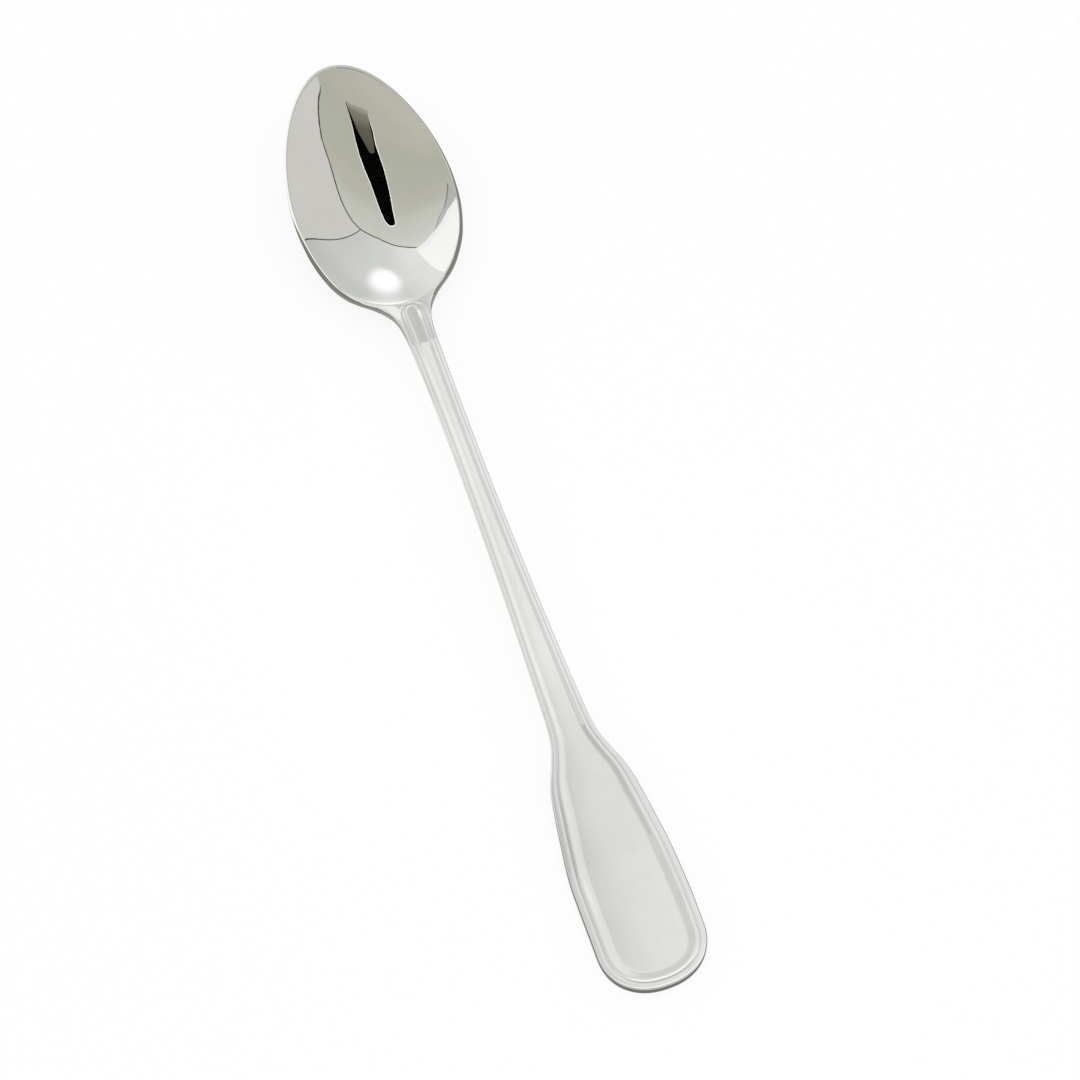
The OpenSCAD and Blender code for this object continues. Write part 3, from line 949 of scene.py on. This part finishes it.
def place_tent():
    """The light tent: a pale top with the camera's slot, brighter walls, and dark seams between them."""
    top = RIGHT_EDGE + BACK_EDGE[1:] + LEFT_EDGE[1:] + FRONT_EDGE
    flat_card("tent_top", top, TOP_SHARE, tent_cloth("tent_top"))
    wall("tent_right", RIGHT_EDGE, RIGHT_EDGE[:-1] + [RIGHT_FOOT], tent_cloth("tent_right"))
    lamp = (on_tent(LAMP_PLACE, LAMP_HEIGHT), LAMP_REACH, tone(255, 255, 255))
    dimmer = ([(0, DIM_FOOT), (1, WHITE)], *[on_tent((0, 0), height) for height in DIM_HEIGHTS])
    back = tent_cloth("tent_back", lamp, dimmer)
    wall("tent_back", BACK_EDGE, [RIGHT_FOOT] + BACK_EDGE[1:-1] + [LEFT_FOOT], back)
    wall("tent_left", LEFT_EDGE, [LEFT_FOOT] + LEFT_EDGE[1:], tent_cloth("tent_left"))
    flat_card("tent_fold", FOLD, HEM_SHARE, tent_cloth("tent_fold"))
    flat_card("slot_hem", grown(SLOT, HEM_W), HEM_SHARE, tent_cloth("slot_hem"))
    flat_card("camera_slot", SLOT, SLOT_SHARE, tent_cloth("camera_slot"))
    flat_card("camera_lens", LENS, LENS_SHARE, tent_cloth("camera_lens"))

    seam = tent_cloth("seam")
    ribbon("seam_right", [on_tent(place) for place in RIGHT_EDGE], RIGHT_SEAM_WIDTHS, seam)
    ribbon("seam_back", [on_tent(place) for place in BACK_EDGE], [SEAM_W] * len(BACK_EDGE), seam)
    ribbon("seam_left", [on_tent(place) for place in LEFT_EDGE[:2]], [SEAM_W, SEAM_W / 2], seam)
    ribbon("seam_fold", [on_tent(place) for place in FOLD_LINE], [SEAM_W / 2] * len(FOLD_LINE), seam)
    corner = [on_tent(RIGHT_EDGE[-1]), on_tent(RIGHT_FOOT, 0)]
    ribbon("seam_corner", corner, [CORNER_SEAM_W] * 2, seam)


def tones_between(greys, direction, tint):
    """Stops, start and end for greys of (place, grey) along a direction. tint is what red, green and blue
    have more than the grey."""
    start, end = greys[0][0], greys[-1][0]
    tones = [tone(*[grey + more for more in tint]) for _, grey in greys]
    positions = [(place - start) / (end - start) for place, _ in greys]
    return list(zip(positions, tones)), Vector(direction) * start, Vector(direction) * end


# Painted shade on the table: a dark sheet which the side walls and the bevels alone show, and the tones of
# the painted shade and painted light in a strip beside the spoon
PAINTED_SHADE_HALF = 0.25
PAINTED_STRIP_HALF = 0.024
PAINTED_SHADE_Z = 0.00004
PAINTED_SHADE_TONE = (124, 126, 116)
PAINTED_STRIP_TONES = [(-0.097, 112), (-0.088, 128), (-0.074, 132), (-0.062, 158), (-0.052, 212), (-0.042, 240),
              (0.030, 238), (0.038, 222), (0.043, 165), (0.048, 140), (0.053, 146), (0.062, 98),
              (0.076, 150), (0.092, 212)]
PAINTED_STRIP_TINT = (0, 0, -6)


def place_painted_shade():
    """Painted shade under the spoon: a dark sheet seen in reflections alone, with painted light that makes
    it pale beside the stem and beside the tip.
    """
    # Painted shade: the sheet stands in for the table's shade, as the steel mirrors it. The strip is painted
    # shade where dark and painted light where pale.
    plain = glowing("painted_shade_sheet", [(0, tone(*PAINTED_SHADE_TONE)), (1, tone(*PAINTED_SHADE_TONE))], (0, 0, 0), (1, 0, 0))
    rectangle("painted_shade_sheet", -PAINTED_SHADE_HALF, PAINTED_SHADE_HALF, -PAINTED_SHADE_HALF, PAINTED_SHADE_HALF, PAINTED_SHADE_Z, plain)
    near = glowing("painted_shade_and_light_strip", *tones_between(PAINTED_STRIP_TONES, (0, 1, 0), PAINTED_STRIP_TINT))
    rectangle("painted_shade_and_light_strip", -PAINTED_STRIP_HALF, PAINTED_STRIP_HALF, -TOTAL_L * MM, TOTAL_L * MM, 2 * PAINTED_SHADE_Z, near)


# Soft cards over the spoon, in metres: left, right, front, back and height. From the photographed side the
# bowl doesn't see them. Their greys are given by place from left to right.
CARD_TINT = (0, 1, -1)
STEM_CARD = (-0.045, 0.045, -0.065, 0.052, 0.030)
STEM_TONES = [(-0.045, 125), (-0.028, 168), (-0.018, 186), (-0.010, 193), (-0.005, 203), (-0.0018, 212),
              (0.0015, 217), (0.004, 220), (0.015, 221), (0.020, 224), (0.030, 228), (0.045, 232)]
SIDE_CARD = (-0.045, -0.012, -0.040, 0.052, 0.0299)
SIDE_TONES = [(-0.045, 238), (-0.012, 208)]
END_CARD = (-0.045, 0.045, -0.150, -0.093, 0.030)
END_TONES = [(-0.045, 240), (0.045, 250)]
NECK_CARD = (-0.015, 0.025, 0.0425, 0.054, 0.015)
NECK_TONES = [(-0.015, 205), (-0.006, 214), (-0.003, 207), (-0.0005, 196), (0.0015, 189), (0.003, 195),
              (0.005, 206), (0.008, 215), (0.014, 230), (0.025, 240)]
SHOULDER_CARD = (-0.015, -0.0017, 0.0487, 0.054, 0.0149)
SHOULDER_TONES = [(-0.015, 248), (-0.0017, 236)]

# Two higher cards over the handle. The cove at its end mirrors lower rays than the panel does, and shows the
# second and darker one.
HANDLE_CARD = (-0.20, 0.15, -0.150, -0.0565, 0.060)
HANDLE_TONES = [(-0.20, 203), (-0.0049, 207), (-0.0013, 212), (0.0023, 217), (0.0077, 222), (0.013, 224),
                (0.020, 226), (0.040, 226), (0.060, 230), (0.15, 246)]
COVE_CARD = (-0.030, 0.10, -0.0565, -0.030, 0.060)
COVE_TONES = [(-0.030, 208), (-0.010, 203), (0.016, 205), (0.027, 224), (0.10, 230)]

# How a card's light changes along the spoon: stops of (position, share), and the places of the first and the
# last position
STEM_SHADE = ([(0, 1), (1, 1.1)], -0.045, -0.020)
END_SHADE = ([(0, 1), (0.12, 1), (0.3, 0.45), (1, 0.2)], END_CARD[3], END_CARD[2])
HANDLE_SHADE = ([(0, 0.978), (1, 1)], HANDLE_CARD[3], -0.070)
COVE_SHADE = ([(0, 1.07), (1, 1)], COVE_CARD[2], -0.050)


def across(name, greys, shade=None):
    """Cloth with greys by place from left to right, and a shade along the spoon over them."""
    if shade:
        shares, start, end = shade
        stops = [(position, (share, share, share, 1)) for position, share in shares]
        shade = (stops, (0, start, 0), (0, end, 0))
    return glowing(name, *tones_between(greys, (1, 0, 0), CARD_TINT), shade=shade)


def place_cards():
    """Soft cards over handle, stem and neck. The riser closes the step between the stem's and the neck's."""
    stem_cloth = across("stem_card", STEM_TONES, STEM_SHADE)
    rectangle("stem_card", *STEM_CARD, stem_cloth)
    rectangle("side_card", *SIDE_CARD, across("side_card", SIDE_TONES))
    left, right, _, back, high = STEM_CARD
    front, low = NECK_CARD[2], NECK_CARD[4]
    riser = [(left, front, low), (right, front, low), (right, back, high), (left, back, high)]
    card("riser", riser, [[0, 1, 2, 3]], stem_cloth)
    rectangle("end_card", *END_CARD, across("end_card", END_TONES, END_SHADE))
    rectangle("handle_card", *HANDLE_CARD, across("handle_card", HANDLE_TONES, HANDLE_SHADE))
    rectangle("cove_card", *COVE_CARD, across("cove_card", COVE_TONES, COVE_SHADE))
    rectangle("neck_card", *NECK_CARD, across("neck_card", NECK_TONES))
    rectangle("shoulder_card", *SHOULDER_CARD, across("shoulder_card", SHOULDER_TONES))


# White table. A share of its white doesn't depend on the light.
TABLE_SIZE = 6
TABLE_WHITE = (0.96, 0.96, 0.96, 1)
TABLE_ROUGHNESS = 0.8
TABLE_GLOW_SHARE = 0.85


def place_table():
    """The table. Where camera, glossy or transmission rays see it, a share of it glows evenly, which keeps
    the shadow on it faint."""
    bpy.ops.mesh.primitive_plane_add(size=TABLE_SIZE)
    table = bpy.context.object
    table.name = "table"
    material, nodes, links = new_material("white_table")
    shader = nodes["Principled BSDF"]
    shader.inputs["Base Color"].default_value = TABLE_WHITE
    shader.inputs["Roughness"].default_value = TABLE_ROUGHNESS
    white = nodes.new("ShaderNodeEmission")
    rays = nodes.new("ShaderNodeLightPath")
    seen = nodes.new("ShaderNodeMath")
    seen.operation = "MAXIMUM"
    shown = nodes.new("ShaderNodeMath")
    shown.operation = "MAXIMUM"
    share = nodes.new("ShaderNodeMath")
    share.operation = "MULTIPLY"
    share.inputs[1].default_value = TABLE_GLOW_SHARE
    mix = nodes.new("ShaderNodeMixShader")
    links.new(rays.outputs["Is Camera Ray"], seen.inputs[0])
    links.new(rays.outputs["Is Glossy Ray"], seen.inputs[1])
    links.new(seen.outputs[0], shown.inputs[0])
    links.new(rays.outputs["Is Transmission Ray"], shown.inputs[1])
    links.new(shown.outputs[0], share.inputs[0])
    links.new(share.outputs[0], mix.inputs["Fac"])
    links.new(shader.outputs["BSDF"], mix.inputs[1])
    links.new(white.outputs[0], mix.inputs[2])
    links.new(mix.outputs[0], nodes["Material Output"].inputs["Surface"])
    table.data.materials.append(material)


def light_world():
    """Even white light from all sides."""
    world = bpy.data.worlds.new("studio")
    bpy.context.scene.world = world
    world.use_nodes = True
    background = world.node_tree.nodes["Background"]
    background.inputs["Color"].default_value = WHITE
    background.inputs["Strength"].default_value = 1.0


build_spoon()
place_camera()
place_table()
place_tent()
place_cards()
place_painted_shade()
light_world()
bpy.context.scene.view_settings.view_transform = "Standard"
